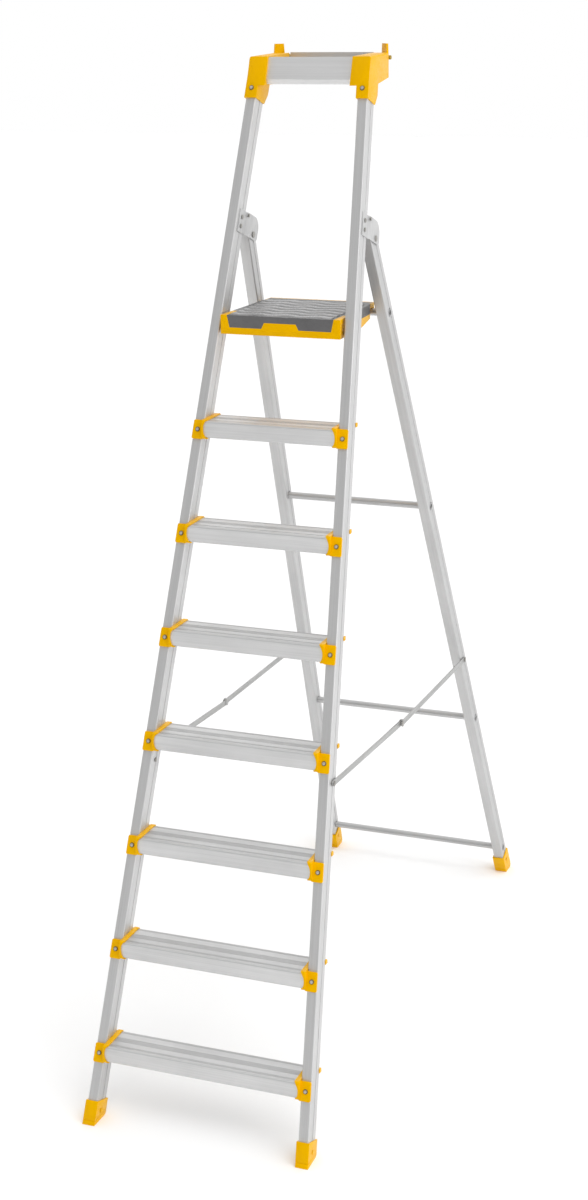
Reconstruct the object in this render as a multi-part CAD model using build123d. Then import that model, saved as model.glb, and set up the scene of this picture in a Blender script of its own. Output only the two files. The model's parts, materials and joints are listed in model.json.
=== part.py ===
from build123d import *
from math import cos, radians, sin, tan
import os

# Platform step ladder, in millimetres. X is across the ladder, +Y points to its back, +Z is up.
# The origin is on the floor, at the middle of the footprint. The ladder stands open.

# Front frame: both stiles lie in one plane that leans back, and draw together towards the top.
FRONT_LEAN = 19.5
FRONT_HALF = 284.0
SPLAY = 0.053
STILE_WIDTH = 25.0
STILE_DEPTH = 50.0
TUBE_WALL = 2.0
TUBE_ROUND = 3.0
FLUTE_WIDTH = 9.0
FLUTE_DEPTH = 0.7
STILE_START = 21.0
STILE_END = 2545.0

# Rear frame: two legs that hang from the hinge brackets.
REAR_LEAN = 24.35
REAR_HALF = 287.0
LEG_WIDTH = 28.0
LEG_DEPTH = 41.0
LEG_START = 8.0
LEG_OVER_PIVOT = 28.0
PIVOT_ALONG = 2166.5
PIVOT_BEHIND = 103.0
CROSSBARS = {"crossbar_lower": 85.0, "crossbar_middle": 626.0, "crossbar_upper": 1391.0}
ROD_ALONG = 1988.0
BAR_RADIUS = 9.0
BAR_WALL = 1.8
BAR_OVERHANG = 0.6
BAR_RIDGE = 1.2
BAR_RIDGE_WIDTH = 3.0

# Steps.
STEP_COUNT = 7
FIRST_STEP = 174.0
STEP_PITCH = 250.0
TREAD_DEPTH = 85.0
TREAD_HEIGHT = 41.0
TREAD_WALL = 2.4
TREAD_FRONT = -9.7
TREAD_RISE = 23.2
TREAD_NOSE = 5.0
GROOVE_WIDTH = 1.8
GROOVE_DEPTH = 0.9
GROOVE_PITCH = 4.0
GROOVE_BANDS = {10.0: 2, 34.0: 5, 73.0: 3}
TREAD_LIP = 9.0

# Step brackets: an end wall with lips round the tread, a front plate and a lug behind the stile.
BRACKET_WALL = 4.0
BRACKET_LIP = 9.0
BRACKET_RIM = 3.2
PLATE_HEIGHT = 46.0
PLATE_THICKNESS = 5.0
LUG_HEIGHT = 9.0
LUG_DEPTH = 5.5

# Fasteners.
SCREW_HEAD = 5.8
SCREW_HEAD_HEIGHT = 2.6
SCREW_SHANK = 2.4
SCREW_LENGTH = 12.0
HOLE_PLAY = 0.1
RUNNING_PLAY = 0.06
HEAD_GAP = 0.3
CROSS_NEAR = 100.0
CROSS_FAR = 320.0

# Top caps and tool tray, level with the floor.
CAP_LOW = 2471.0
CAP_SCREW = 2494.4
CAP_WALL = 2.6
TRAY_BACK = 1006.0
TRAY_SET_BACK = 2.5
TRAY_LOW = 2360.0
TRAY_FLOOR = 2370.0
TRAY_TOP = 2422.0
TRAY_WALL = 2.4
TRAY_HALF = 107.0
TRAY_BEND = 2371.0
TRAY_TURN_IN = 8.0
TRAY_BACK_TOP = 2428.0
ARM_OUTER = 153.0
ARM_OUTER_BACK = 148.0
ARM_LOW = 2372.0
ARM_TOP = 2423.5
ARM_RISE = 4.0
ARM_BACK = 1016.0
ARM_CORNER = 20.0
CAP_ROUND = 5.0
SLEEVE_BACK = 65.0
SLEEVE_BEVEL_UP = 26.0
SLEEVE_BEVEL_IN = 15.0
SLEEVE_FRONT = 5.0
ARM_FRONT_LOW = 2358.0
ARM_STEP = 905.0
ARM_WALL = 3.0
POST_RISE = 20.5
POST_THICKNESS = 5.0
POST_FLARE = 2.5
PEG_RADIUS = 5.0
PEG_START = 110.0
PEG_REACH = 3.0
PEG_NOTCH = 17.0

# Hinge brackets.
PLATE_SHEET = 2.0
HINGE_FRONT = 12.0
HINGE_BACK = 129.0
HINGE_TOP = 2209.0
HINGE_LOW = 2154.5
HINGE_ROUND = 30.0
JOGGLE = 3.4
JOGGLE_START = 51.0
JOGGLE_END = 57.0
RIVET_RADIUS = 3.2
RIVET_HEAD = 5.4
RIVET_HEAD_HEIGHT = 1.4
HINGE_RIVETS = ((2192.0, 28.0), (2170.0, 28.0))
SPACER_RIVET = (2202.5, 57.5)
SPACER_RADIUS = 3.0
SPACER_HEAD = 4.2
PIN_RADIUS = 5.0
PIN_HEAD = 7.5
PIN_HEAD_HEIGHT = 1.2
PIN_GAP = 0.45

# Feet.
FOOT_WALL = 3.2
FOOT_HEIGHT = 58.0
FOOT_HEEL = 9.0
FOOT_LINE_UP = 10.0
FOOT_LINE = 1.4
FOOT_RIVET_UP = 33.0
FOOT_RIVET_RADIUS = 4.5

# Platform.
PLATFORM_TOP = 1841.4
PLATFORM_FRONT = 633.0
PLATFORM_BACK = 921.0
PLATFORM_HEIGHT = 45.0
PLATFORM_HALF_FRONT = 150.5
PLATFORM_HALF_BACK = 136.0
PLATFORM_WALL = 3.5
PLATFORM_PIN_ALONG = 1925.0
PLATFORM_PIN_BEHIND = 25.0
PLATFORM_PIN_RADIUS = 5.0
PLATFORM_BOSS = 11.0
PIN_INSIDE = 178.0
PAD_THICKNESS = 4.0
PAD_APRON = 3.0
PAD_HALF_TOP = 134.0
PAD_HALF_LOW = 128.0
PAD_CENTRE_TOP = 40.0
PAD_CENTRE_LOW = 47.0
PAD_DROP_SHALLOW = 15.0
PAD_DROP_DEEP = 29.0
PAD_SIDE_FRONT = 700.0
PAD_SIDE_BACK = 886.0
PAD_SIDE_DROP = 24.0
PAD_WING = 18.0
HOOK_LOW = 1815.0
HOOK_WALL = 6.5
ROD_SEAT_FRONT = 884.0
ROD_PLAY = 0.6
SKIRT_RISE_START = 815.0
SKIRT_RISE = 10.0

# Side braces: a lower link on the stile and an upper link on the rear leg, 12 mm past straight.
BRACE_STILE_ALONG = 880.0
BRACE_LEG_ALONG = 851.0
BRACE_SPLIT = 0.4732
BRACE_SAG = 12.0
LINK_WIDTH = 14.0
LINK_SHEET = 3.0
LINK_GAP = 0.5
LINK_PLANE = 242.6
LINK_STOP_LENGTH = 9.0
LINK_STOP_RISE = 4.8
LINK_STOP_CLEAR = 1.8
LINK_RIVET_RADIUS = 3.5
LINK_HEAD_RADIUS = 6.5
MIDDLE_HEAD_RADIUS = 8.0
LINK_HEAD_HEIGHT = 2.0
BUSH_RADIUS = 7.0


ACROSS = Vector(1, 0, 0)
UP_STILE = Vector(0, sin(radians(FRONT_LEAN)), cos(radians(FRONT_LEAN)))
BEHIND_STILE = Vector(0, cos(radians(FRONT_LEAN)), -sin(radians(FRONT_LEAN)))
UP_LEG = Vector(0, -sin(radians(REAR_LEAN)), cos(radians(REAR_LEAN)))
BEHIND_LEG = Vector(0, cos(radians(REAR_LEAN)), sin(radians(REAR_LEAN)))
SIDES = {"left": -1, "right": 1}


def on_front(across, along, behind):
    """Point in the front frame: along the stile from the floor, and behind its front face."""
    return ACROSS * across + UP_STILE * along + BEHIND_STILE * behind


PIVOT = on_front(0, PIVOT_ALONG, PIVOT_BEHIND)
LEG_AXIS_FOOT = PIVOT.Y + PIVOT.Z * tan(radians(REAR_LEAN))
REAR_BASE = Vector(0, LEG_AXIS_FOOT - LEG_DEPTH / 2 / cos(radians(REAR_LEAN)), 0)
PIVOT_ON_LEG = (PIVOT - REAR_BASE).dot(UP_LEG)


def on_rear(across, along, behind):
    """Point in the rear frame: along the leg from the floor, and behind its front face."""
    return REAR_BASE + ACROSS * across + UP_LEG * along + BEHIND_LEG * behind


PLATFORM_PIN = on_front(0, PLATFORM_PIN_ALONG, PLATFORM_PIN_BEHIND)
BRACE_FRONT = on_front(0, BRACE_STILE_ALONG, STILE_DEPTH / 2)
BRACE_REAR = on_rear(0, BRACE_LEG_ALONG, LEG_DEPTH / 2)


def stile_outer(along):
    return FRONT_HALF - SPLAY * along


def stile_inner(along):
    return stile_outer(along) - STILE_WIDTH


def leg_outer(along):
    return REAR_HALF - SPLAY * along


def leg_inner(along):
    return leg_outer(along) - LEG_WIDTH


def prism(points, depth):
    """Solid swept from a closed outline of 3-D points by a vector."""
    face = make_face(Polyline(*points, close=True))
    return extrude(face, amount=depth.length, dir=depth.normalized())


def peg(start, end, radius):
    """Cylinder between two points."""
    run = end - start
    return extrude(Plane(origin=start, z_dir=run.normalized()) * Circle(radius), amount=run.length)


def slab(low, high):
    """Box between two opposite corners."""
    size = Vector(*high) - Vector(*low)
    middle = (Vector(*high) + Vector(*low)) / 2
    return Pos(middle.X, middle.Y, middle.Z) * Box(abs(size.X), abs(size.Y), abs(size.Z))


def side_outline(points, side, near, far):
    """Outline of (y, z) points, swept across X from near to far on one side."""
    corners = [Vector(side * near, y, z) for y, z in points]
    return prism(corners, ACROSS * side * (far - near))


def splayed_tube(place, outer, width, depth, start, end, side):
    """Hollow box tube whose faces follow the splay of its frame, with a flute down each side."""
    def shell(inset, back):
        corners = [place(side * (outer(at) - edge), at, inset) for at, edge in (
            (start, inset), (end, inset), (end, width - inset), (start, width - inset))]
        return prism(corners, back * (depth - 2 * inset))
    back = place(0, 0, 1) - place(0, 0, 0)
    skin = shell(0, back)
    skin = fillet(skin.edges().sort_by(SortBy.LENGTH)[-4:], TUBE_ROUND)
    near = (depth - FLUTE_WIDTH) / 2
    for low, high in ((-FLUTE_DEPTH, FLUTE_DEPTH), (width - FLUTE_DEPTH, width + FLUTE_DEPTH)):
        corners = [place(side * (outer(at) - edge), at, near) for at, edge in (
            (start, low), (end, low), (end, high), (start, high))]
        skin -= prism(corners, back * FLUTE_WIDTH)
    return skin - shell(TUBE_WALL, back)


def splayed_block(place, outer, width, grow, start, end, near, far, side):
    """Solid with the outline of a tube grown by a wall, from near to far behind the front face."""
    corners = [place(side * (outer(at) + edge), at, near) for at, edge in (
        (start, grow), (end, grow), (end, -width - grow), (start, -width - grow))]
    back = place(0, 0, 1) - place(0, 0, 0)
    return prism(corners, back * (far - near))


def step_along(number):
    return FIRST_STEP + STEP_PITCH * (number - 1)


def tread_origin(number):
    """Middle of the front top edge of a tread."""
    bolt = on_front(0, step_along(number), 0)
    return bolt.Y + TREAD_FRONT, bolt.Z + TREAD_RISE


def tread_outline(number, grow=0.0):
    """Rounded outline of a tread in Y and Z, grown on every side."""
    y, z = tread_origin(number)
    width = TREAD_DEPTH + 2 * grow
    height = TREAD_HEIGHT + 2 * grow
    middle = (0, y + TREAD_DEPTH / 2, z - TREAD_HEIGHT / 2)
    plane = Plane(origin=middle, x_dir=(0, 1, 0), z_dir=(1, 0, 0))
    return plane * RectangleRounded(width, height, TREAD_NOSE + grow)


def tread_half(number):
    """Half length of a tread, which ends against the bracket's end wall."""
    return stile_inner(step_along(number)) - BRACKET_WALL


def step_tread(number):
    y, z = tread_origin(number)
    half = tread_half(number)
    body = extrude(tread_outline(number), amount=half, both=True)
    low = z - TREAD_HEIGHT
    back = y + TREAD_DEPTH
    hollow = slab((-half, y + TREAD_WALL, low + TREAD_WALL), (half, back - TREAD_WALL, z - 2 * TREAD_WALL))
    mouth = slab((-half, y + TREAD_LIP, low - TREAD_WALL), (half, back - TREAD_LIP, low + 2 * TREAD_WALL))
    body = body - hollow - mouth
    for first, count in GROOVE_BANDS.items():
        for index in range(count):
            at = y + first + GROOVE_PITCH * index
            body -= slab((-half, at, z - GROOVE_DEPTH), (half, at + GROOVE_WIDTH, z + GROOVE_DEPTH))
    return body


def step_screw(along, side, plate):
    """Screw through the front plate into the stile's front wall."""
    centre = side * (stile_outer(along) - STILE_WIDTH / 2)
    face = on_front(centre, along, -plate)
    head = peg(face - BEHIND_STILE * SCREW_HEAD_HEIGHT, face, SCREW_HEAD)
    head = fillet(head.edges().sort_by(Axis(face, -BEHIND_STILE))[-1:], SCREW_HEAD_HEIGHT / 2)
    return head + peg(face, face + BEHIND_STILE * SCREW_LENGTH, SCREW_SHANK)


def screw_hole(along, side):
    centre = side * (stile_outer(along) - STILE_WIDTH / 2)
    return peg(on_front(centre, along, -2 * SCREW_LENGTH), on_front(centre, along, SCREW_LENGTH),
               SCREW_SHANK + HOLE_PLAY)


def stile_envelope(side, grow):
    return splayed_block(on_front, stile_outer, STILE_WIDTH, grow, 0, STILE_END,
                         -grow, STILE_DEPTH + grow, side)


def bracket_mouth(number, side):
    """Round notch that leaves the bracket's front lip as two tips, above and below."""
    y, z = tread_origin(number)
    reach = TREAD_HEIGHT / 2 + BRACKET_RIM
    radius = (BRACKET_LIP ** 2 + reach ** 2) / (2 * BRACKET_LIP)
    start = Vector(side * (tread_half(number) - radius), y - 2 * BRACKET_RIM, z - TREAD_HEIGHT / 2)
    return peg(start, start + Vector(0, 3 * BRACKET_RIM, 0), radius)


def step_bracket(number, side):
    along = step_along(number)
    y, z = tread_origin(number)
    half = tread_half(number)
    wall = extrude(tread_outline(number, BRACKET_RIM), amount=side * (STILE_WIDTH + BRACKET_WALL))
    wall = Pos(side * (half - BRACKET_LIP), 0, 0) * wall
    seat = extrude(tread_outline(number), amount=side * BRACKET_LIP)
    seat = Pos(side * (half - BRACKET_LIP), 0, 0) * seat
    under = slab((side * (half - 2 * BRACKET_LIP), y + TREAD_LIP, z - 2 * TREAD_HEIGHT),
                 (side * half, y + TREAD_DEPTH - TREAD_LIP, z - TREAD_HEIGHT))
    plate = prism([on_front(side * (stile_outer(along + rise) - edge), along + rise, -PLATE_THICKNESS)
                   for rise, edge in ((-PLATE_HEIGHT / 2, 0), (PLATE_HEIGHT / 2, 0),
                                      (PLATE_HEIGHT / 2, STILE_WIDTH + BRACKET_WALL),
                                      (-PLATE_HEIGHT / 2, STILE_WIDTH + BRACKET_WALL))],
                  BEHIND_STILE * (PLATE_THICKNESS - HOLE_PLAY))
    plate = fillet(plate.edges().filter_by(Axis((0, 0, 0), BEHIND_STILE)), BRACKET_WALL)
    lug_top = z + BRACKET_RIM
    back = front_y(lug_top, STILE_DEPTH)
    lug = slab((side * half, back - LUG_DEPTH, lug_top - LUG_HEIGHT),
               (side * (stile_outer(along) - HOLE_PLAY), back + LUG_DEPTH, lug_top))
    outside = splayed_block(on_front, stile_inner, 2 * STILE_WIDTH, 0, along - STEP_PITCH / 2,
                            along + STEP_PITCH / 2, -2 * STILE_DEPTH, 3 * STILE_DEPTH, side)
    body = (wall & outside) + plate + lug - seat - bracket_mouth(number, side) - under
    return body - stile_envelope(side, HOLE_PLAY) - screw_hole(along, side)


def front_stile(side):
    tube = splayed_tube(on_front, stile_outer, STILE_WIDTH, STILE_DEPTH, STILE_START, STILE_END, side)
    for number in range(1, STEP_COUNT + 1):
        tube -= screw_hole(step_along(number), side)
    tube -= screw_hole(CAP_SCREW, side)
    for along, behind in HINGE_RIVETS:
        tube -= cross_peg(on_front(0, along, behind), RIVET_RADIUS + HOLE_PLAY, side)
    tube -= cross_peg(on_front(0, FOOT_RIVET_UP, STILE_DEPTH / 2), FOOT_RIVET_RADIUS + HOLE_PLAY, side)
    tube -= cross_peg(on_front(0, BRACE_STILE_ALONG, STILE_DEPTH / 2), LINK_RIVET_RADIUS + HOLE_PLAY, side)
    return tube - cross_peg(PLATFORM_PIN, PLATFORM_PIN_RADIUS + HOLE_PLAY, side, CROSS_NEAR, PIN_INSIDE)


def cross_peg(centre, radius, side, near=CROSS_NEAR, far=CROSS_FAR):
    """Cylinder along X at a (y, z) place, on one side."""
    start = Vector(side * near, centre.Y, centre.Z)
    end = Vector(side * far, centre.Y, centre.Z)
    return peg(start, end, radius)


def rear_leg(side):
    end = PIVOT_ON_LEG + LEG_OVER_PIVOT
    tube = splayed_tube(on_rear, leg_outer, LEG_WIDTH, LEG_DEPTH, LEG_START, end, side)
    for along in list(CROSSBARS.values()) + [ROD_ALONG]:
        tube -= cross_peg(on_rear(0, along, LEG_DEPTH / 2), BAR_RADIUS + BAR_RIDGE + HOLE_PLAY, side)
    tube -= cross_peg(PIVOT, PIN_RADIUS + RUNNING_PLAY, side)
    tube -= cross_peg(on_rear(0, FOOT_RIVET_UP, LEG_DEPTH / 2), FOOT_RIVET_RADIUS + HOLE_PLAY, side)
    tube -= cross_peg(on_rear(0, BRACE_LEG_ALONG, LEG_DEPTH / 2), LINK_RIVET_RADIUS + HOLE_PLAY, side)
    return tube


def cross_tube(along):
    """Round tube with a lengthwise ridge, through both rear legs."""
    centre = on_rear(0, along, LEG_DEPTH / 2)
    reach = leg_outer(along) + BAR_OVERHANG
    body = cross_peg(centre, BAR_RADIUS, 1, -reach, reach)
    ridge = slab((-leg_inner(along), centre.Y - BAR_RADIUS - BAR_RIDGE, centre.Z - BAR_RIDGE_WIDTH / 2),
                 (leg_inner(along), centre.Y, centre.Z + BAR_RIDGE_WIDTH / 2))
    return body + ridge - cross_peg(centre, BAR_RADIUS - BAR_WALL, 1, -reach, reach)


def hinge_plate(side, sign):
    """Sheet plate on one face of the stile, set out behind it to pass the rear leg.

    sign is 1 on the outer face and -1 on the inner face.
    """
    def face(along, behind, out):
        middle = stile_outer(along) - STILE_WIDTH / 2
        return on_front(side * (middle + sign * (STILE_WIDTH / 2 + out)), along, behind)

    def panel(front, back, out):
        corners = [face(HINGE_LOW, front, out), face(HINGE_TOP, front, out),
                   face(HINGE_TOP, back, out), face(HINGE_LOW, back, out)]
        return prism(corners, ACROSS * side * sign * PLATE_SHEET)

    near = panel(HINGE_FRONT, JOGGLE_START, 0)
    far = panel(JOGGLE_END, HINGE_BACK, JOGGLE)
    back_edges = far.edges().filter_by(Axis.X).sort_by(Axis((0, 0, 0), BEHIND_STILE))[-2:]
    far = fillet(back_edges.sort_by(Axis.Z)[-1:], HINGE_ROUND)
    low_edge = far.edges().filter_by(Axis.X).sort_by(Axis((0, 0, 0), BEHIND_STILE))[-2:].sort_by(Axis.Z)[:1]
    far = fillet(low_edge, HINGE_ROUND / 3)
    web = prism([face(HINGE_LOW, JOGGLE_START, 0), face(HINGE_LOW, JOGGLE_START, PLATE_SHEET),
                 face(HINGE_LOW, JOGGLE_END, JOGGLE + PLATE_SHEET), face(HINGE_LOW, JOGGLE_END, JOGGLE)],
                face(HINGE_TOP, 0, 0) - face(HINGE_LOW, 0, 0))
    plate = near + web + far
    for along, behind in HINGE_RIVETS:
        plate -= cross_peg(on_front(0, along, behind), RIVET_RADIUS + HOLE_PLAY, side)
    plate -= cross_peg(on_front(0, *SPACER_RIVET), SPACER_RADIUS + HOLE_PLAY, side)
    return plate - cross_peg(PIVOT, PIN_RADIUS + HOLE_PLAY, side)


def riveted_pin(centre, middle, reach, radius, head, head_height, side):
    """Pin along X with a rounded head at each end."""
    low = middle - reach
    high = middle + reach
    body = cross_peg(centre, radius, side, low, high)
    for start, end in ((low - head_height, low), (high, high + head_height)):
        disc = cross_peg(centre, head, side, start, end)
        body += disc
    return body


def hinge_middle(along):
    return stile_outer(along) - STILE_WIDTH / 2


def hinge_rivet_set():
    reach = STILE_WIDTH / 2 + PLATE_SHEET + HEAD_GAP
    return [riveted_pin(on_front(0, along, behind), hinge_middle(along), reach, RIVET_RADIUS,
                        RIVET_HEAD, RIVET_HEAD_HEIGHT, side)
            for side in SIDES.values() for along, behind in HINGE_RIVETS]


def spacer_rivet(side):
    reach = STILE_WIDTH / 2 + JOGGLE + PLATE_SHEET + HEAD_GAP
    return riveted_pin(on_front(0, *SPACER_RIVET), hinge_middle(SPACER_RIVET[0]), reach, SPACER_RADIUS,
                       SPACER_HEAD, RIVET_HEAD_HEIGHT, side)


def hinge_pin(side):
    reach = STILE_WIDTH / 2 + JOGGLE + PLATE_SHEET + PIN_GAP
    middle = hinge_middle(PIVOT_ALONG)
    return riveted_pin(PIVOT, middle, reach, PIN_RADIUS, PIN_HEAD, PIN_HEAD_HEIGHT, side)


def foot(place, outer, width, depth, start, side):
    """Moulded boot round the end of a tube, cut level with the floor."""
    boot = splayed_block(place, outer, width, FOOT_WALL, -depth, FOOT_HEIGHT,
                         -FOOT_WALL, depth + FOOT_WALL, side)
    reach = 4 * FOOT_HEIGHT
    middle = place(side * outer(0), 0, depth / 2)
    boot -= slab((middle.X - reach, middle.Y - reach, -reach), (middle.X + reach, middle.Y + reach, 0))
    sole = boot.faces().sort_by(Axis.Z)[0]
    heel = sole.edges().sort_by(Axis.Y)[-1:]
    boot = fillet(heel, FOOT_HEEL)
    core = splayed_block(place, outer, width, FOOT_WALL - FOOT_LINE / 2, -depth, FOOT_HEIGHT,
                         FOOT_LINE / 2 - FOOT_WALL, depth + FOOT_WALL - FOOT_LINE / 2, side)
    line = slab((middle.X - reach, middle.Y - reach, FOOT_LINE_UP),
                (middle.X + reach, middle.Y + reach, FOOT_LINE_UP + FOOT_LINE))
    boot -= line - core
    socket = splayed_block(place, outer, width, 0, start, 2 * FOOT_HEIGHT, 0, depth, side)
    return boot - socket - cross_peg(place(0, FOOT_RIVET_UP, depth / 2), FOOT_RIVET_RADIUS + HOLE_PLAY, side)


def front_foot(side):
    return foot(on_front, stile_outer, STILE_WIDTH, STILE_DEPTH, STILE_START, side)


def rear_foot(side):
    return foot(on_rear, leg_outer, LEG_WIDTH, LEG_DEPTH, LEG_START, side)


def foot_rivet(place, outer, width, depth, side):
    middle = outer(FOOT_RIVET_UP) - width / 2
    reach = width / 2 + FOOT_WALL + HEAD_GAP
    return riveted_pin(place(0, FOOT_RIVET_UP, depth / 2), middle, reach, FOOT_RIVET_RADIUS - 1,
                       FOOT_RIVET_RADIUS + 1, RIVET_HEAD_HEIGHT, side)


def front_y(z, behind=0.0):
    """Y of a plane parallel to the stile's front face, at height z."""
    return z * tan(radians(FRONT_LEAN)) + behind / cos(radians(FRONT_LEAN))


def cap_sleeve(side):
    """Boot round the top of a stile, bevelled at its lower rear corner."""
    sleeve = prism([on_front(side * (stile_outer(along) + CAP_WALL - edge), along, -SLEEVE_FRONT)
                    for along, edge in ((CAP_LOW, 0), (STILE_END + STILE_DEPTH, 0),
                                        (STILE_END + STILE_DEPTH, STILE_WIDTH + 2 * CAP_WALL),
                                        (CAP_LOW, STILE_WIDTH + 2 * CAP_WALL))],
                   BEHIND_STILE * (SLEEVE_BACK + SLEEVE_FRONT))
    bevel = prism([on_front(-ARM_OUTER - ARM_CORNER, CAP_LOW + up, behind) for up, behind in (
        (-1, SLEEVE_BACK - SLEEVE_BEVEL_IN), (SLEEVE_BEVEL_UP, SLEEVE_BACK), (-1, 2 * SLEEVE_BACK))],
                  ACROSS * 2 * (ARM_OUTER + ARM_CORNER))
    above = slab((-2 * ARM_OUTER, 0, ARM_TOP - CAP_ROUND), (2 * ARM_OUTER, 2 * ARM_BACK, 2 * ARM_TOP))
    return sleeve - bevel - above


def cap_arm(side):
    """Box that runs back from the sleeve, draws in and rises a little, with a rounded outer edge."""
    start = front_y(ARM_FRONT_LOW, -SLEEVE_FRONT)
    outline = [(start, ARM_FRONT_LOW), (front_y(ARM_TOP, -SLEEVE_FRONT), ARM_TOP),
               (ARM_BACK, ARM_TOP + ARM_RISE), (ARM_BACK, ARM_LOW), (ARM_STEP, ARM_FRONT_LOW)]
    arm = side_outline(outline, side, TRAY_HALF, ARM_OUTER)
    taper_end = ARM_BACK - ARM_CORNER
    arm -= prism([Vector(side * x, y, 0) for x, y in (
        (ARM_OUTER, start), (ARM_OUTER_BACK, taper_end), (ARM_OUTER_BACK, 2 * ARM_BACK),
        (2 * ARM_OUTER, 2 * ARM_BACK))], Vector(0, 0, 2 * ARM_TOP))
    crown = arm.faces().sort_by(Axis.Z)[-1]
    arm = fillet(crown.edges().sort_by(Axis((0, 0, 0), (side, 0, 0)))[-1:], CAP_ROUND)
    hollow = slab((side * (TRAY_HALF + ARM_WALL), ARM_STEP + ARM_WALL, 0),
                  (side * (ARM_OUTER_BACK - ARM_WALL), taper_end - ARM_WALL, ARM_TOP - ARM_WALL))
    notch = slab((side * TRAY_HALF, ARM_BACK - 4 * PEG_RADIUS, ARM_TOP - 4 * PEG_RADIUS),
                 (side * (ARM_OUTER_BACK - PEG_NOTCH), ARM_BACK, 2 * ARM_TOP))
    return arm - hollow - notch


def top_cap(side):
    front = Vector(side * ARM_OUTER_BACK, ARM_BACK - ARM_CORNER, 0)
    rear = Vector(side * (ARM_OUTER_BACK - ARM_CORNER), ARM_BACK, 0)
    inward = Vector(-side, -1, 0).normalized() * POST_THICKNESS
    waste = prism([front, rear, Vector(side * ARM_OUTER, ARM_BACK + POST_THICKNESS, 0)],
                  Vector(0, 0, 2 * ARM_TOP))
    foot_level = Vector(0, 0, ARM_TOP - ARM_WALL)
    head_level = Vector(0, 0, ARM_TOP + ARM_RISE + POST_RISE)
    flare = (rear - front).normalized() * POST_FLARE
    post = prism([front + foot_level, rear + foot_level, rear - flare + head_level,
                  front + flare + head_level], inward)
    socket = splayed_block(on_front, stile_outer, STILE_WIDTH, 0, CAP_LOW - STILE_DEPTH, STILE_END,
                           0, STILE_DEPTH, side)
    body = cap_sleeve(side) + (cap_arm(side) - waste) + post
    return body - socket - screw_hole(CAP_SCREW, side) - cap_peg(side, HOLE_PLAY)


def cap_peg(side, grow=0.0):
    centre = Vector(0, ARM_BACK - 2 * PEG_RADIUS, ARM_TOP - ARM_WALL - PEG_RADIUS)
    return cross_peg(centre, PEG_RADIUS + grow, side, PEG_START, ARM_OUTER_BACK + PEG_REACH)


def tool_tray():
    """Trough across the top, its front face in line with the stiles and a lip below its floor."""
    front = TRAY_SET_BACK
    lip = front_y(TRAY_BEND, front) + TRAY_TURN_IN - (TRAY_BEND - TRAY_LOW) * tan(radians(FRONT_LEAN))
    outer = [(front_y(TRAY_TOP, front), TRAY_TOP), (front_y(TRAY_BEND, front), TRAY_BEND),
             (lip, TRAY_LOW), (lip + TRAY_WALL, TRAY_LOW), (lip + 2 * TRAY_WALL, TRAY_FLOOR),
             (TRAY_BACK, TRAY_FLOOR), (TRAY_BACK, TRAY_BACK_TOP), (TRAY_BACK - TRAY_WALL, TRAY_BACK_TOP),
             (TRAY_BACK - TRAY_WALL, TRAY_TOP)]
    floor = TRAY_FLOOR + TRAY_WALL
    inner_front = front + TRAY_WALL
    corner = floor + TRAY_TURN_IN
    trough = [(front_y(TRAY_TOP + 1, inner_front), TRAY_TOP + 1), (front_y(corner, inner_front), corner),
              (front_y(corner, inner_front), floor), (TRAY_BACK - TRAY_WALL, floor),
              (TRAY_BACK - TRAY_WALL, TRAY_TOP + 1)]
    body = side_outline(outer, 1, -TRAY_HALF, TRAY_HALF)
    return body - side_outline(trough, 1, -TRAY_HALF, TRAY_HALF)


def platform_half(y):
    share = (y - PLATFORM_FRONT) / (PLATFORM_BACK - PLATFORM_FRONT)
    return PLATFORM_HALF_FRONT + (PLATFORM_HALF_BACK - PLATFORM_HALF_FRONT) * share


def platform_plan(inset, front, back, low, high):
    corners = [Vector(sign * (platform_half(y) - inset), y, low) for sign, y in (
        (-1, front), (1, front), (1, back), (-1, back))]
    return prism(corners, Vector(0, 0, high - low))


def platform_tread():
    """Ribbed pad: a top sheet, a front apron with a shallow middle, and two side aprons."""
    low = PLATFORM_TOP - PAD_THICKNESS
    back = PLATFORM_BACK - HOOK_WALL
    sheet = prism([Vector(x, y, low) for x, y in (
        (-PAD_HALF_TOP, PLATFORM_FRONT), (PAD_HALF_TOP, PLATFORM_FRONT),
        (PLATFORM_HALF_BACK - 1, back), (1 - PLATFORM_HALF_BACK, back))], Vector(0, 0, PAD_THICKNESS))
    shallow = PLATFORM_TOP - PAD_DROP_SHALLOW
    deep = PLATFORM_TOP - PAD_DROP_DEEP
    outline = [(-PAD_HALF_TOP, PLATFORM_TOP - 1), (-PAD_HALF_LOW, deep), (-PAD_CENTRE_LOW, deep),
               (-PAD_CENTRE_TOP, shallow), (PAD_CENTRE_TOP, shallow), (PAD_CENTRE_LOW, deep),
               (PAD_HALF_LOW, deep), (PAD_HALF_TOP, PLATFORM_TOP - 1)]
    apron = prism([Vector(x, PLATFORM_FRONT, z) for x, z in outline], Vector(0, PAD_APRON, 0))
    body = sheet + apron
    for side in SIDES.values():
        corners = [Vector(side * (platform_half(y) - edge), y, PLATFORM_TOP - PAD_SIDE_DROP) for y, edge in (
            (PAD_SIDE_FRONT, 0), (PAD_SIDE_BACK, 0), (PAD_SIDE_BACK, PAD_APRON), (PAD_SIDE_FRONT, PAD_APRON))]
        body += prism(corners, Vector(0, 0, PAD_SIDE_DROP))
        wing = [Vector(side * (platform_half(y) - edge), y, low) for y, edge in (
            (PAD_SIDE_FRONT, 0), (PAD_SIDE_BACK, 0), (PAD_SIDE_BACK, PAD_WING), (PAD_SIDE_FRONT, PAD_WING))]
        body += prism(wing, Vector(0, 0, PAD_THICKNESS))
    return body


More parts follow.
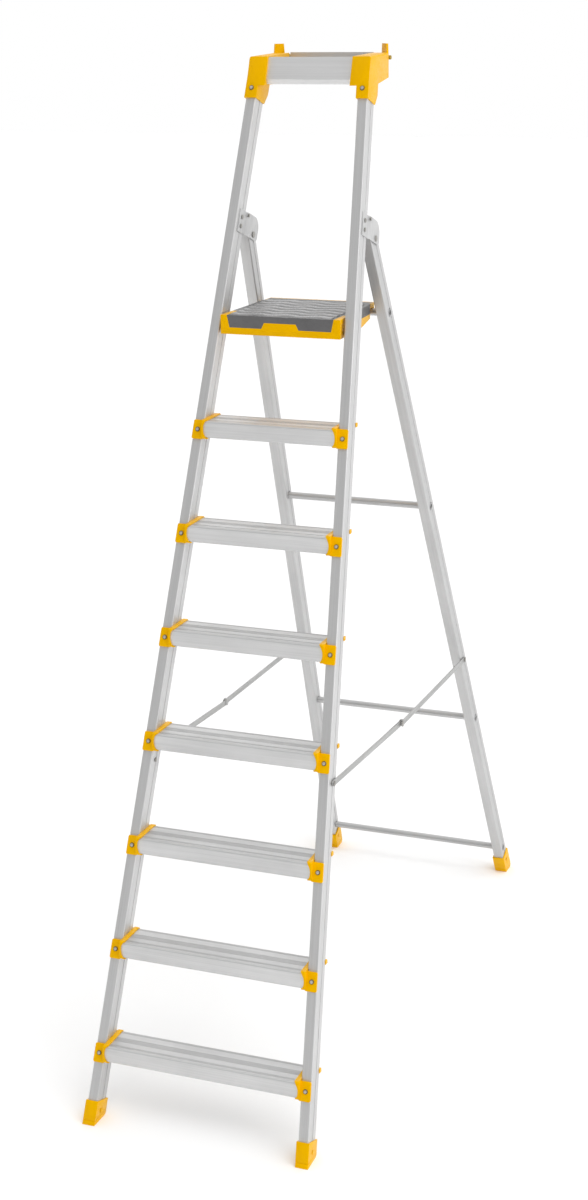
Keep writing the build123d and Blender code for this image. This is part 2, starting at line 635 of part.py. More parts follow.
def platform_frame():
    """Moulded frame, open underneath, with a lip that hooks behind the platform rod."""
    rod = on_rear(0, ROD_ALONG, LEG_DEPTH / 2)
    low = PLATFORM_TOP - PLATFORM_HEIGHT
    seat = rod.Z + BAR_RADIUS + BAR_RIDGE + ROD_PLAY
    outline = [(PLATFORM_FRONT, low), (PLATFORM_FRONT, PLATFORM_TOP), (PLATFORM_BACK, PLATFORM_TOP),
               (PLATFORM_BACK, HOOK_LOW), (PLATFORM_BACK - HOOK_WALL, HOOK_LOW),
               (PLATFORM_BACK - HOOK_WALL, seat), (ROD_SEAT_FRONT, seat),
               (ROD_SEAT_FRONT, low + SKIRT_RISE), (SKIRT_RISE_START, low)]
    body = side_outline(outline, 1, -PLATFORM_HALF_FRONT, PLATFORM_HALF_FRONT)
    body = body & platform_plan(0, PLATFORM_FRONT, PLATFORM_BACK, low, PLATFORM_TOP)
    front_wall = PAD_APRON + PLATFORM_WALL
    top_wall = PAD_THICKNESS + PLATFORM_WALL
    body -= platform_plan(front_wall, PLATFORM_FRONT + front_wall, ROD_SEAT_FRONT - PLATFORM_WALL,
                          low - 1, PLATFORM_TOP - top_wall)
    for side in SIDES.values():
        boss_near = platform_half(PLATFORM_PIN.Y) - front_wall - PLATFORM_BOSS
        body += cross_peg(PLATFORM_PIN, PLATFORM_BOSS - 1, side, boss_near, platform_half(PLATFORM_PIN.Y) - 1)
        body -= cross_peg(PLATFORM_PIN, PLATFORM_PIN_RADIUS + RUNNING_PLAY, side)
    return body - platform_tread()


def platform_pin(side):
    near = platform_half(PLATFORM_PIN.Y) - PAD_APRON - PLATFORM_WALL - PLATFORM_BOSS
    return cross_peg(PLATFORM_PIN, PLATFORM_PIN_RADIUS, side, near, PIN_INSIDE - 1)


def brace_middle():
    """Middle pivot of an open brace, a little below the line between its ends."""
    run = BRACE_REAR - BRACE_FRONT
    drop = ACROSS.cross(run.normalized()) * BRACE_SAG
    return BRACE_FRONT + run * BRACE_SPLIT - drop


BRACE_MIDDLE = brace_middle()


def link(start, end, side, near):
    """Flat strip with round ends between two pivots."""
    run = end - start
    middle = (start + end) / 2
    plane = Plane(origin=(side * near, middle.Y, middle.Z), x_dir=run.normalized(), z_dir=(side, 0, 0))
    return extrude(plane * SlotCenterToCenter(run.length, LINK_WIDTH), amount=LINK_SHEET)


def brace_lower(side):
    near = LINK_PLANE - LINK_GAP - LINK_SHEET
    body = link(BRACE_FRONT, BRACE_MIDDLE, side, near)
    body -= cross_peg(BRACE_FRONT, LINK_RIVET_RADIUS + RUNNING_PLAY, side)
    body += cross_peg(BRACE_MIDDLE, MIDDLE_HEAD_RADIUS, side, near - LINK_HEAD_HEIGHT, near)
    ahead = (BRACE_MIDDLE - BRACE_FRONT).normalized()
    above = ACROSS.cross(ahead)
    base = BRACE_MIDDLE - ahead * LINK_STOP_LENGTH / 2 + above * (LINK_WIDTH / 2 - 1)
    base += ACROSS * side * near
    length = ahead * LINK_STOP_LENGTH
    rise = above * LINK_STOP_RISE
    clear = above * LINK_STOP_CLEAR
    tab = prism([base, base + length, base + length + rise, base + rise], ACROSS * side * LINK_SHEET)
    hook = prism([base + clear, base + length + clear, base + length + rise, base + rise],
                 ACROSS * side * (2 * LINK_SHEET + LINK_GAP))
    return body + tab + hook


def brace_upper(side):
    body = link(BRACE_MIDDLE, BRACE_REAR, side, LINK_PLANE)
    body -= cross_peg(BRACE_REAR, LINK_RIVET_RADIUS + RUNNING_PLAY, side)
    return body - cross_peg(BRACE_MIDDLE, LINK_RIVET_RADIUS, side)


def brace_middle_rivet(side):
    far = LINK_PLANE + LINK_SHEET
    return (cross_peg(BRACE_MIDDLE, LINK_RIVET_RADIUS, side, LINK_PLANE, far)
            + cross_peg(BRACE_MIDDLE, MIDDLE_HEAD_RADIUS, side, far, far + LINK_HEAD_HEIGHT))


def brace_end_rivet(centre, inner, outer, near, side):
    """Shoulder rivet through a tube, with the link free between its bush and its head."""
    far = near + LINK_SHEET + 2 * HOLE_PLAY
    body = cross_peg(centre, LINK_RIVET_RADIUS, side, inner, far)
    body += cross_peg(centre, BUSH_RADIUS, side, outer + HEAD_GAP, near - HOLE_PLAY)
    body += cross_peg(centre, LINK_HEAD_RADIUS, side, far, far + LINK_HEAD_HEIGHT)
    return body + cross_peg(centre, LINK_HEAD_RADIUS - 1, side, inner - LINK_HEAD_HEIGHT, inner)


def brace_front_rivet(side):
    inner = stile_inner(BRACE_STILE_ALONG) - HEAD_GAP
    return brace_end_rivet(BRACE_FRONT, inner, stile_outer(BRACE_STILE_ALONG),
                           LINK_PLANE - LINK_GAP - LINK_SHEET, side)


def brace_rear_rivet(side):
    inner = leg_inner(BRACE_LEG_ALONG) - HEAD_GAP
    return brace_end_rivet(BRACE_REAR, inner, leg_outer(BRACE_LEG_ALONG), LINK_PLANE, side)


def build():
    """Every node by name, in the working frame of the two leaning planes."""
    nodes = {}
    for name, side in SIDES.items():
        nodes[f"front_stile_{name}"] = front_stile(side)
        nodes[f"front_foot_{name}"] = front_foot(side)
        nodes[f"top_cap_{name}"] = top_cap(side)
        nodes[f"hinge_plate_outer_{name}"] = hinge_plate(side, 1)
        nodes[f"hinge_plate_inner_{name}"] = hinge_plate(side, -1)
        nodes[f"rear_leg_{name}"] = rear_leg(side)
        nodes[f"rear_foot_{name}"] = rear_foot(side)
        nodes[f"brace_lower_{name}"] = brace_lower(side)
        nodes[f"brace_upper_{name}"] = brace_upper(side)
        nodes[f"brace_middle_rivet_{name}"] = brace_middle_rivet(side)
        for number in range(1, STEP_COUNT + 1):
            nodes[f"step_bracket_{name}_{number}"] = step_bracket(number, side)
    for number in range(1, STEP_COUNT + 1):
        nodes[f"step_tread_{number}"] = step_tread(number)
    for name, along in CROSSBARS.items():
        nodes[name] = cross_tube(along)
    nodes["platform_rod"] = cross_tube(ROD_ALONG)
    nodes["platform_frame"] = platform_frame()
    nodes["platform_tread"] = platform_tread()
    nodes["tool_tray"] = tool_tray()
    both = SIDES.values()
    nodes["step_screws"] = [step_screw(step_along(number), side, PLATE_THICKNESS)
                            for side in both for number in range(1, STEP_COUNT + 1)]
    nodes["cap_screws"] = [step_screw(CAP_SCREW, side, SLEEVE_FRONT) for side in both]
    nodes["cap_pegs"] = [cap_peg(side) for side in both]
    nodes["hinge_rivets"] = hinge_rivet_set()
    nodes["hinge_spacer_rivets"] = [spacer_rivet(side) for side in both]
    nodes["hinge_pins"] = [hinge_pin(side) for side in both]
    nodes["platform_pins"] = [platform_pin(side) for side in both]
    nodes["brace_front_rivets"] = [brace_front_rivet(side) for side in both]
    nodes["brace_rear_rivets"] = [brace_rear_rivet(side) for side in both]
    nodes["front_foot_rivets"] = [foot_rivet(on_front, stile_outer, STILE_WIDTH, STILE_DEPTH, side)
                                  for side in both]
    nodes["rear_foot_rivets"] = [foot_rivet(on_rear, leg_outer, LEG_WIDTH, LEG_DEPTH, side)
                                 for side in both]
    return {name: Compound(shape) if isinstance(shape, list) else shape for name, shape in nodes.items()}


def footprint_middle(nodes):
    """Middle of the whole ladder's box in Y, which becomes the origin."""
    boxes = [shape.bounding_box() for shape in nodes.values()]
    return (min(box.min.Y for box in boxes) + max(box.max.Y for box in boxes)) / 2


NODES = build()
MIDDLE_Y = footprint_middle(NODES)
PARTS = {name: Pos(0, -MIDDLE_Y, 0) * shape for name, shape in NODES.items()}

os.makedirs("parts", exist_ok=True)
for name, shape in PARTS.items():
    export_step(shape, f"parts/{name}.step")
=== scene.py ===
import json
import math

import bmesh
import bpy
from mathutils import Matrix, Vector


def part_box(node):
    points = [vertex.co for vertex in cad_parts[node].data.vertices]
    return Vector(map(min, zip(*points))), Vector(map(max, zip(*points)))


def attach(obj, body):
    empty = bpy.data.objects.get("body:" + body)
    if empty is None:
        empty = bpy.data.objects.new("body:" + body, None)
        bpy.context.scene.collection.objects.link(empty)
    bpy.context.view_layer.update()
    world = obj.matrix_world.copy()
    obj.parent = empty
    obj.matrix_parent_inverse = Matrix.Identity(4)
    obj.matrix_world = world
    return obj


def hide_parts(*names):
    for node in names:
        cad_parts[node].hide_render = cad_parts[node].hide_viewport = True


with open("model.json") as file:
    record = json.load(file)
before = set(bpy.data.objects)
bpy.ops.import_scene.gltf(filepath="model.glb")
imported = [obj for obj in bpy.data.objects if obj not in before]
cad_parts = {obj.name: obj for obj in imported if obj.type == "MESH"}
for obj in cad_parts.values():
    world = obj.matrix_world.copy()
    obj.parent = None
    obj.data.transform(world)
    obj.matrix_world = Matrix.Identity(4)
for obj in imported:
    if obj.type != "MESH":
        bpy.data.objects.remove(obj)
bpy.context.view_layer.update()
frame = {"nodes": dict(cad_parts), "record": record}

# Looks of the folding platform step ladder, in metres, in the frame's own axes: X across, +Y to the
# back, +Z up, with the origin on the floor in the middle of the footprint.

NODES = frame["nodes"]
BODY_OF = {node: body for body, nodes in frame["record"]["behaviour"]["bodies"].items() for node in nodes}
MM = 0.001
SIDES = {"left": -1, "right": 1}

# Directions of the two leaning frames.
FRONT_LEAN = math.radians(19.5)
REAR_LEAN = math.radians(24.35)
SPLAY = math.atan(0.053)
INTO_STILE = Vector((0, math.cos(FRONT_LEAN), -math.sin(FRONT_LEAN)))
ALONG_STILE = Vector((0, math.sin(FRONT_LEAN), math.cos(FRONT_LEAN)))
ACROSS = Vector((1, 0, 0))

# Directions that the metal's grain runs in, as turns from Z.
ALONG_X = (0, math.pi / 2, 0)
ALONG_Y = (math.pi / 2, 0, 0)
ALONG_HINGE = (-FRONT_LEAN, 0, 0)

# Mill-finish metal: scale of each layer of noise, and how it is stretched along the piece.
METALLIC = 0.85
LINE_SCALE, LINE_STRETCH = 900.0, 0.004
BAND_SCALE, BAND_STRETCH = 110.0, 0.02
STAIN_SCALE, STAIN_STRETCH = 16.0, 0.35
SCRATCH_SCALE, SCRATCH_STRETCH = 420.0, 0.12
METAL_RELIEF = 0.06 * MM
ALUMINIUM_ROUGHNESS = (0.44, 0.56)

# Lighter and darker tone of each group of aluminium pieces.
TONES = {"stile": (0.68, 0.555), "leg": (0.625, 0.505), "tread": (0.71, 0.58), "tray": (0.81, 0.69),
         "bar": (0.6, 0.48)}

# Other metals: name, grain, lighter colour, darker colour, least and most roughness.
METALS = {
    "screw": ("screw_steel", ALONG_X, (0.72, 0.7, 0.66), (0.5, 0.47, 0.43), (0.32, 0.45)),
    # The screw rim is no separate metal. It is a dark brown painted shade on the outer part of each screw
    # head.
    "rim_shade": ("screw_rim_painted_shade", ALONG_X, (0.2, 0.16, 0.09), (0.1, 0.075, 0.04), (0.36, 0.5)),
    "steel": ("zinc_steel", ALONG_X, (0.42, 0.41, 0.39), (0.24, 0.23, 0.21), (0.3, 0.44)),
    "plate": ("plate_metal", ALONG_HINGE, (0.66, 0.66, 0.66), (0.5, 0.5, 0.5), (0.4, 0.52)),
    "link": ("link_metal", ALONG_Y, (0.52, 0.52, 0.515), (0.36, 0.36, 0.355), (0.38, 0.5)),
}

# Moulded plastic: scale of each layer of noise, and the spread of its roughness.
DRIFT_SCALE = 22.0
GRAIN_SCALE = 1700.0
RUBBED_SCALE = 130.0
SMOOTHER, ROUGHER = 0.08, 0.1
WHITE = (1, 1, 1)

# Plastics: name, lighter colour, darker colour, roughness, relief, gloss and tint of the gloss.
PLASTICS = {
    "yellow": ("yellow_plastic", (0.87, 0.46, 0.0), (0.79, 0.4, 0.0), 0.38, 0.12 * MM, 0.5, (1, 0.7, 0)),
    "grey": ("grey_plastic", (0.125, 0.123, 0.125), (0.085, 0.084, 0.085), 0.38, 0.12 * MM, 0.45, WHITE),
    # The rib crests are the pad's own plastic made lighter: a painted highlight.
    "highlight_crest": ("grey_crest_painted_highlight", (0.31, 0.307, 0.31), (0.22, 0.218, 0.22), 0.3, 0.1 * MM, 0.6, WHITE),
    # Darkened yellow plastic for the cap pegs: a painted shade, not a separate dark plastic.
    "dark": ("dark_plastic", (0.4, 0.27, 0.02), (0.24, 0.16, 0.015), 0.45, 0.1 * MM, 0.5, WHITE),
}

# Start of a node's name, and the material of the nodes that start so. The rest are steel.
FINISHES = {
    "front_stile_left": "stile_left", "front_stile_right": "stile_right", "rear_leg_left": "leg_left",
    "rear_leg_right": "leg_right", "step_bracket": "yellow", "top_cap": "yellow",
    "platform_frame": "yellow", "platform_tread": "grey", "front_foot": "yellow", "rear_foot": "yellow",
    "cap_pegs": "dark", "hinge_plate": "plate", "brace_lower": "link", "brace_upper": "link",
    "step_tread": "tread", "tool_tray": "tray", "crossbar": "bar", "platform_rod": "bar",
}

# Rounded edges of moulded and pressed pieces and of rivets.
MOULDED = ("step_bracket", "top_cap", "front_foot_left", "front_foot_right", "rear_foot_left",
           "rear_foot_right", "platform_frame")
PRESSED = ("hinge_plate", "brace_lower", "brace_upper")
MOULD_EDGE = 1.1 * MM
PLATE_EDGE = 0.45 * MM
RIVET_EDGE = 0.9 * MM
RIVET_SEGMENTS = 3
SHARP = math.radians(28)
SMOOTH_BELOW = math.radians(40)
WELD = 0.01 * MM
FLAT_WITHIN = math.radians(0.6)

# Screws: a domed head with a six-sided socket, and the start of the shank. The outer part of each head is
# coloured dark brown, a painted shade ringing the head.
TURNED_SIDES = 48
HEXAGON_SLICE = math.pi / 3
HEAD_RADIUS = 5.8 * MM
HEAD_HEIGHT = 2.6 * MM
HEAD_SMOOTH_BELOW = math.radians(35)
DOME_START = 0.1 * MM
DOME_RISE = 0.9
DOME_STEPS = 4
SOCKET_RADIUS = 2.0 * MM
SOCKET_DEPTH = 1.1 * MM
SOCKET_CHAMFER = 0.12 * MM
CHAMFER_REACH = 1.15 * SOCKET_RADIUS
DOME_REACH = 1.3 * SOCKET_RADIUS
SHANK_RADIUS = 2.3 * MM
SHANK_END = 3.0 * HEAD_HEIGHT
SHANK_TIP = 3.4 * HEAD_HEIGHT
SOCKET_RINGS = (1, 2)
# From this ring outward the head is coloured with the dark painted shade.
SHADE_RIM_FROM = 4

# Pegs of the top caps. They are coloured as a darker copy of the yellow plastic, a painted shade.
PEG_RADIUS = 5.0 * MM
PEG_HEAD_RADIUS = 9.0 * MM
PEG_HEAD_LENGTH = 6.0 * MM
PEG_ROUND = 0.8 * MM

# Wavy ribs on the platform's pad. Their crests are coloured lighter than the pad, a painted highlight.
RIB_PITCH = 35.0 * MM
RIB_WIDTH = 27.0 * MM
RIB_HEIGHT = 2.4 * MM
RIB_SINK = 0.4 * MM
RIB_SWING = 7.0 * MM
RIB_WAVE = 76.0 * MM
RIB_STEP = 4.0 * MM
RIB_MARGIN = 24.0 * MM
RIB_SHIFT = 0.7
RIB_SECTION = ((-0.5, -RIB_SINK), (-0.42, 0.55 * RIB_HEIGHT), (-0.22, RIB_HEIGHT), (0.22, RIB_HEIGHT),
               (0.42, 0.55 * RIB_HEIGHT), (0.5, -RIB_SINK))
PAD_HALF = 127.0 * MM

# Camera.
CAMERA_PLACE = Vector((1.718, -4.5891, 2.5829))
CAMERA_YAW = math.radians(21.263)
CAMERA_PITCH = math.radians(-17.371)
CAMERA_ROLL = math.radians(-0.825)
SENSOR = 24.0
LENS = 39.993
CAMERA_SHIFT = 0.0093
CAMERA_REACH = 200

# Floor and light.
FLOOR_SIZE = 60
FLOOR_COLOR = (0.97, 0.97, 0.97, 1)
FLOOR_ROUGHNESS = 0.9
SKY_FRONT = 0.42
SKY_BACK = 1.2
SKY_SEEN = 1.0
SUN_STRENGTH = 1.05
SUN_SPREAD = math.radians(50)
SUN_DIRECTION = Vector((-0.45, 0.35, -1.0))
SIDE_PLACE = Vector((5.0, -1.2, 2.6))
SIDE_TARGET = Vector((0, 0, 1.4))
SIDE_SIZE = 3
SIDE_POWER = 55


# ---------------------------------------------------------------- material tools

def new_material(name):
    material = bpy.data.materials.new(name)
    material.use_nodes = True
    return material, material.node_tree, material.node_tree.nodes["Principled BSDF"]


def add(tree, kind, **values):
    """New node with attributes, or inputs where the name is an input's."""
    node = tree.nodes.new(kind)
    for key, value in values.items():
        if key in node.inputs:
            node.inputs[key].default_value = value
        else:
            setattr(node, key, value)
    return node


def coordinates(tree, turn=(0, 0, 0), scale=(1, 1, 1)):
    """Object coordinates, turned so that Z runs along the piece, then stretched."""
    source = add(tree, "ShaderNodeTexCoord")
    turned = add(tree, "ShaderNodeMapping", vector_type="TEXTURE")
    turned.inputs["Rotation"].default_value = turn
    stretched = add(tree, "ShaderNodeMapping")
    stretched.inputs["Scale"].default_value = scale
    tree.links.new(source.outputs["Object"], turned.inputs["Vector"])
    tree.links.new(turned.outputs["Vector"], stretched.inputs["Vector"])
    return stretched.outputs["Vector"]


def noise(tree, vector, scale, detail=3.0, roughness=0.55):
    node = add(tree, "ShaderNodeTexNoise", Scale=scale, Detail=detail, Roughness=roughness)
    tree.links.new(vector, node.inputs["Vector"])
    return node.outputs["Fac"]


def spread(tree, value, low, high, from_low=0.3, from_high=0.7):
    node = add(tree, "ShaderNodeMapRange")
    for key, number in (("From Min", from_low), ("From Max", from_high), ("To Min", low), ("To Max", high)):
        node.inputs[key].default_value = number
    tree.links.new(value, node.inputs["Value"])
    return node.outputs["Result"]


def blend_colors(tree, factor, first, second):
    node = add(tree, "ShaderNodeMix", data_type="RGBA")
    node.inputs[6].default_value = (*first, 1)
    node.inputs[7].default_value = (*second, 1)
    tree.links.new(factor, node.inputs[0])
    return node.outputs[2]


def total(tree, *values):
    result = values[0]
    for value in values[1:]:
        node = add(tree, "ShaderNodeMath", operation="ADD")
        tree.links.new(result, node.inputs[0])
        tree.links.new(value, node.inputs[1])
        result = node.outputs[0]
    return result


def bump(tree, shader, height, distance, strength=1.0):
    node = add(tree, "ShaderNodeBump", Strength=strength, Distance=distance)
    tree.links.new(height, node.inputs["Height"])
    tree.links.new(node.outputs["Normal"], shader.inputs["Normal"])


def extruded_metal(name, turn, light, dark, roughness):
    """Mill-finish metal with fine lines along its length, faint stains and a few scratches."""
    material, tree, shader = new_material(name)
    lines = noise(tree, coordinates(tree, turn, (1, 1, LINE_STRETCH)), LINE_SCALE, 2.0)
    bands = noise(tree, coordinates(tree, turn, (1, 1, BAND_STRETCH)), BAND_SCALE, 2.0)
    stains = noise(tree, coordinates(tree, turn, (1, 1, STAIN_STRETCH)), STAIN_SCALE, 4.0)
    scratches = noise(tree, coordinates(tree, turn, (1, 1, SCRATCH_STRETCH)), SCRATCH_SCALE, 1.0)
    tone = total(tree, spread(tree, lines, -0.22, 0.22), spread(tree, bands, 0.18, 0.5),
                 spread(tree, stains, 0.0, 0.32))
    tree.links.new(blend_colors(tree, tone, light, dark), shader.inputs["Base Color"])
    rough = total(tree, spread(tree, stains, *roughness), spread(tree, lines, -0.03, 0.03))
    tree.links.new(rough, shader.inputs["Roughness"])
    height = total(tree, spread(tree, lines, 0.0, 0.6), spread(tree, scratches, 0.0, -0.8, 0.72, 0.8))
    bump(tree, shader, height, METAL_RELIEF)
    shader.inputs["Metallic"].default_value = METALLIC
    return material


def moulded_plastic(name, light, dark, roughness, relief, gloss, tint):
    """Moulded plastic with a fine grain, soft colour drift and rubbed patches."""
    material, tree, shader = new_material(name)
    plain = coordinates(tree)
    drift = noise(tree, plain, DRIFT_SCALE, 3.0)
    fine = noise(tree, plain, GRAIN_SCALE, 2.0)
    rubbed = noise(tree, plain, RUBBED_SCALE, 5.0, 0.65)
    tone = total(tree, spread(tree, drift, 0.0, 0.45), spread(tree, rubbed, -0.08, 0.2, 0.4, 0.75))
    tree.links.new(blend_colors(tree, tone, light, dark), shader.inputs["Base Color"])
    rough = spread(tree, rubbed, roughness - SMOOTHER, roughness + ROUGHER)
    tree.links.new(rough, shader.inputs["Roughness"])
    height = total(tree, spread(tree, fine, 0.0, 1.0), spread(tree, rubbed, 0.0, 0.5))
    bump(tree, shader, height, relief)
    shader.inputs["Specular IOR Level"].default_value = gloss
    shader.inputs["Specular Tint"].default_value = (*tint, 1)
    return material


def aluminium(group, name, turn):
    light, dark = TONES[group]
    return extruded_metal(f"aluminium_{name}", turn, (light,) * 3, (dark,) * 3, ALUMINIUM_ROUGHNESS)


def make_materials():
    found = {}
    for name, side in SIDES.items():
        found[f"stile_{name}"] = aluminium("stile", f"stile_{name}", (-FRONT_LEAN, -side * SPLAY, 0))
        found[f"leg_{name}"] = aluminium("leg", f"leg_{name}", (REAR_LEAN, -side * SPLAY, 0))
    for group in ("tread", "tray", "bar"):
        found[group] = aluminium(group, group, ALONG_X)
    for key, finish in PLASTICS.items():
        found[key] = moulded_plastic(*finish)
    for key, finish in METALS.items():
        found[key] = extruded_metal(*finish)
    return found


MATERIALS = make_materials()


def material_for(node):
    for start, key in FINISHES.items():
        if node.startswith(start):
            return MATERIALS[key]
    return MATERIALS["steel"]


def dress_cad_nodes():
    for name, piece in NODES.items():
        piece.data.materials.clear()
        piece.data.materials.append(material_for(name))


dress_cad_nodes()


# ---------------------------------------------------------------- mesh tools

def new_piece(name, mesh, material, body):
    """Object from a bmesh, with its material, riding on a body."""
    data = bpy.data.meshes.new(name)
    bmesh.ops.recalc_face_normals(mesh, faces=mesh.faces)
    mesh.to_mesh(data)
    mesh.free()
    piece = bpy.data.objects.new(name, data)
    bpy.context.scene.collection.objects.link(piece)
    data.materials.append(material)
    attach(piece, body)
    return piece


def apply_modifiers(piece):
    graph = bpy.context.evaluated_depsgraph_get()
    data = bpy.data.meshes.new_from_object(piece.evaluated_get(graph))
    piece.modifiers.clear()
    piece.data = data


def smooth(piece, angle=SMOOTH_BELOW):
    for face in piece.data.polygons:
        face.use_smooth = True
    piece.data.set_sharp_from_angle(angle=angle)


def rounded_copy(node, width, segments=2):
    """Stand-in for a CAD node with its sharp edges rounded."""
    mesh = bmesh.new()
    mesh.from_mesh(NODES[node].data)
    bmesh.ops.remove_doubles(mesh, verts=mesh.verts, dist=WELD)
    bmesh.ops.dissolve_limit(mesh, angle_limit=FLAT_WITHIN, verts=mesh.verts, edges=mesh.edges)
    piece = new_piece(f"{node}_rounded", mesh, material_for(node), BODY_OF[node])
    bevel = piece.modifiers.new("rounding", "BEVEL")
    bevel.width = width
    bevel.segments = segments
    bevel.limit_method = "ANGLE"
    bevel.angle_limit = SHARP
    bevel.use_clamp_overlap = True
    apply_modifiers(piece)
    smooth(piece)
    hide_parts(node)


def islands(node):
    """Points of each separate solid in a node."""
    mesh = bmesh.new()
    mesh.from_mesh(NODES[node].data)
    bmesh.ops.remove_doubles(mesh, verts=mesh.verts, dist=WELD)
    left = set(mesh.verts)
    found = []
    while left:
        group = []
        stack = [left.pop()]
        while stack:
            vertex = stack.pop()
            group.append(vertex.co.copy())
            for edge in vertex.link_edges:
                other = edge.other_vert(vertex)
                if other in left:
                    left.remove(other)
                    stack.append(other)
        found.append(group)
    mesh.free()
    return found


def middle_along(points, direction):
    """Middle and lowest place of a set of points along a direction."""
    places = [point.dot(direction) for point in points]
    return (min(places) + max(places)) / 2, min(places)


def ring_points(centre, axis, radius, hexagonal):
    """Points of a circle, or of a hexagon, square to the axis."""
    first = axis.orthogonal().normalized()
    second = axis.cross(first)
    points = []
    for step in range(TURNED_SIDES):
        angle = 2 * math.pi * step / TURNED_SIDES
        reach = radius
        if hexagonal:
            off_flat = angle % HEXAGON_SLICE - HEXAGON_SLICE / 2
            reach = radius * math.cos(HEXAGON_SLICE / 2) / math.cos(off_flat)
        points.append(centre + first * reach * math.cos(angle) + second * reach * math.sin(angle))
    return points


def turned(mesh, base, axis, profile, hexagons=(), shade_rim_from=None):
    """Solid of revolution: profile is (radius, height) from one pole to the other.

    Rings named in hexagons are six-sided. Faces from the ring named by the last argument on take the second
    material; on the screws that is a painted shade.
    """
    rings = []
    for index, (radius, height) in enumerate(profile):
        centre = base + axis * height
        points = ring_points(centre, axis, radius, index in hexagons) if radius else [centre]
        rings.append([mesh.verts.new(point) for point in points])
    for index, (low, high) in enumerate(zip(rings, rings[1:])):
        finish = int(shade_rim_from is not None and index >= shade_rim_from)
        for step in range(TURNED_SIDES):
            ahead = (step + 1) % TURNED_SIDES
            corners = (low[step % len(low)], low[ahead % len(low)],
                       high[ahead % len(high)], high[step % len(high)])
            kept = list(dict.fromkeys(corners))
            if len(kept) > 2:
                mesh.faces.new(kept).material_index = finish


# ---------------------------------------------------------------- pieces

def round_moulded_and_pressed():
    for node in NODES:
        if node.startswith(MOULDED):
            rounded_copy(node, MOULD_EDGE)
        elif node.startswith(PRESSED):
            rounded_copy(node, PLATE_EDGE)
        elif "rivet" in node or node == "hinge_pins":
            rounded_copy(node, RIVET_EDGE, RIVET_SEGMENTS)


def screw_profile():
    """Socket, chamfer, dome, underside of the head and start of the shank."""
    profile = [(0, -SOCKET_DEPTH), (SOCKET_RADIUS, -SOCKET_DEPTH), (SOCKET_RADIUS, 0),
               (CHAMFER_REACH, SOCKET_CHAMFER)]
    for step in range(1, DOME_STEPS + 1):
        angle = step / DOME_STEPS * math.pi / 2
        reach = DOME_REACH + (HEAD_RADIUS - DOME_REACH) * math.sin(angle)
        rise = (HEAD_HEIGHT - DOME_START) * (1 - math.cos(angle)) * DOME_RISE
        profile.append((reach, DOME_START + rise))
    return profile + [(HEAD_RADIUS, HEAD_HEIGHT), (SHANK_RADIUS, HEAD_HEIGHT), (SHANK_RADIUS, SHANK_END),
                      (0, SHANK_TIP)]


def socket_screws(node):
    """Domed screws with a six-sided socket, one for each solid of the node. The outer part of each head
    takes a dark brown painted shade.
    """
    profile = screw_profile()
    mesh = bmesh.new()
    for points in islands(node):
        centre = ACROSS * middle_along(points, ACROSS)[0]
        centre += ALONG_STILE * middle_along(points, ALONG_STILE)[0]
        centre += INTO_STILE * middle_along(points, INTO_STILE)[1]
        turned(mesh, centre, INTO_STILE, profile, SOCKET_RINGS, SHADE_RIM_FROM)
    piece = new_piece(f"{node}_socketed", mesh, MATERIALS["screw"], "front_frame")
    # Second material: the painted shade on the outer part of each head.
    piece.data.materials.append(MATERIALS["rim_shade"])
    smooth(piece, HEAD_SMOOTH_BELOW)
    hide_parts(node)


def headed_pegs():
    """Pegs through the arms of the top caps, each with a wide head beside the tray, coloured as darkened
    yellow plastic: painted shade.
    """
    mesh = bmesh.new()
    for points in islands("cap_pegs"):
        low = Vector(min(point[axis] for point in points) for axis in range(3))
        high = Vector(max(point[axis] for point in points) for axis in range(3))
        outward = math.copysign(1, low.x)
        base = (low + high) / 2
        base.x = low.x if outward > 0 else high.x
        length = high.x - low.x
        profile = [(0, 0), (PEG_HEAD_RADIUS - PEG_ROUND, 0), (PEG_HEAD_RADIUS, PEG_ROUND),
                   (PEG_HEAD_RADIUS, PEG_HEAD_LENGTH - PEG_ROUND),
                   (PEG_HEAD_RADIUS - PEG_ROUND, PEG_HEAD_LENGTH), (PEG_RADIUS, PEG_HEAD_LENGTH),
                   (PEG_RADIUS, length - PEG_ROUND), (PEG_RADIUS - PEG_ROUND, length), (0, length)]
        turned(mesh, base, ACROSS * outward, profile)
    piece = new_piece("cap_pegs_headed", mesh, MATERIALS["dark"], BODY_OF["cap_pegs"])
    smooth(piece)
    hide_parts("cap_pegs")


def pad_ribs():
    """Rows of rounded, wavy ribs across the platform's pad. Their crests are coloured lighter than the pad,
    a painted highlight.
    """
    low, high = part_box("platform_tread")
    mesh = bmesh.new()
    rows = int((high.y - low.y - 2 * RIB_MARGIN) / RIB_PITCH) + 1
    steps = int(2 * PAD_HALF / RIB_STEP)
    for row in range(rows):
        rings = []
        for step in range(steps + 1):
            x = -PAD_HALF + 2 * PAD_HALF * step / steps
            wave = RIB_SWING * math.sin(2 * math.pi * x / RIB_WAVE + RIB_SHIFT)
            y = low.y + RIB_MARGIN + RIB_PITCH * row + wave
            rings.append([mesh.verts.new((x, y + across * RIB_WIDTH, high.z + rise))
                          for across, rise in RIB_SECTION])
        for near, far in zip(rings, rings[1:]):
            for index in range(len(RIB_SECTION)):
                ahead = (index + 1) % len(RIB_SECTION)
                mesh.faces.new((near[index], near[ahead], far[ahead], far[index]))
        mesh.faces.new(rings[0])
        mesh.faces.new(rings[-1])
    piece = new_piece("platform_ribs", mesh, MATERIALS["highlight_crest"], "platform")
    smooth(piece)


round_moulded_and_pressed()
socket_screws("step_screws")
socket_screws("cap_screws")
headed_pegs()
pad_ribs()


# ---------------------------------------------------------------- stage, light and camera

def make_floor():
    bpy.ops.mesh.primitive_plane_add(size=FLOOR_SIZE, location=(0, 0, 0))
    floor = bpy.context.object
    floor.name = "floor"
    material, _, shader = new_material("pale_floor")
    shader.inputs["Base Color"].default_value = FLOOR_COLOR
    shader.inputs["Roughness"].default_value = FLOOR_ROUGHNESS
    floor.data.materials.append(material)


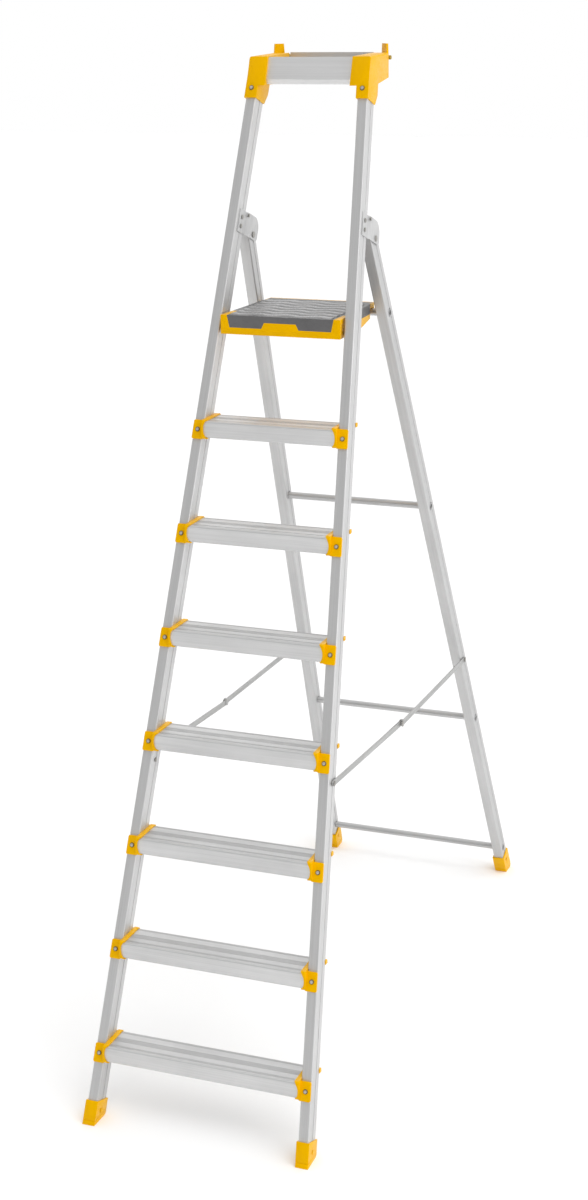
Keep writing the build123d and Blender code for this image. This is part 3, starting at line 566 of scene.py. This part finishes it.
def make_world():
    """Soft surround, brighter behind the ladder than in front of it, and white where it is seen directly."""
    world = bpy.data.worlds.new("studio")
    bpy.context.scene.world = world
    world.use_nodes = True
    tree = world.node_tree
    place = add(tree, "ShaderNodeTexCoord")
    axes = add(tree, "ShaderNodeSeparateXYZ")
    tree.links.new(place.outputs["Generated"], axes.inputs[0])
    level = spread(tree, axes.outputs["Y"], SKY_FRONT, SKY_BACK, -1.0, 1.0)
    path = add(tree, "ShaderNodeLightPath")
    seen = add(tree, "ShaderNodeMix")
    tree.links.new(path.outputs["Is Camera Ray"], seen.inputs[0])
    tree.links.new(level, seen.inputs[2])
    seen.inputs[3].default_value = SKY_SEEN
    background = tree.nodes["Background"]
    background.inputs["Color"].default_value = (1, 1, 1, 1)
    tree.links.new(seen.outputs[0], background.inputs["Strength"])


def place_light(data, direction, place=(0, 0, 0)):
    lamp = bpy.data.objects.new(data.name, data)
    bpy.context.scene.collection.objects.link(lamp)
    lamp.location = place
    lamp.rotation_euler = direction.to_track_quat("-Z", "Y").to_euler()


def sun_light():
    data = bpy.data.lights.new("sun", "SUN")
    data.energy = SUN_STRENGTH
    data.angle = SUN_SPREAD
    place_light(data, SUN_DIRECTION)


def side_light():
    data = bpy.data.lights.new("right", "AREA")
    data.size = SIDE_SIZE
    data.energy = SIDE_POWER
    place_light(data, SIDE_TARGET - SIDE_PLACE, SIDE_PLACE)


def make_camera():
    data = bpy.data.cameras.new("camera")
    data.sensor_fit = "VERTICAL"
    data.sensor_height = SENSOR
    data.lens = LENS
    data.shift_y = CAMERA_SHIFT
    data.clip_end = CAMERA_REACH
    forward = Vector((-math.sin(CAMERA_YAW) * math.cos(CAMERA_PITCH),
                      math.cos(CAMERA_YAW) * math.cos(CAMERA_PITCH), math.sin(CAMERA_PITCH)))
    level = Vector((math.cos(CAMERA_YAW), math.sin(CAMERA_YAW), 0))
    upright = level.cross(forward)
    across = level * math.cos(CAMERA_ROLL) + upright * math.sin(CAMERA_ROLL)
    up = upright * math.cos(CAMERA_ROLL) - level * math.sin(CAMERA_ROLL)
    camera = bpy.data.objects.new("camera", data)
    bpy.context.scene.collection.objects.link(camera)
    turn = Matrix((across, up, -forward)).transposed().to_4x4()
    camera.matrix_world = Matrix.Translation(CAMERA_PLACE) @ turn
    bpy.context.scene.camera = camera


make_floor()
make_world()
sun_light()
side_light()
make_camera()
bpy.context.scene.view_settings.view_transform = "Standard"
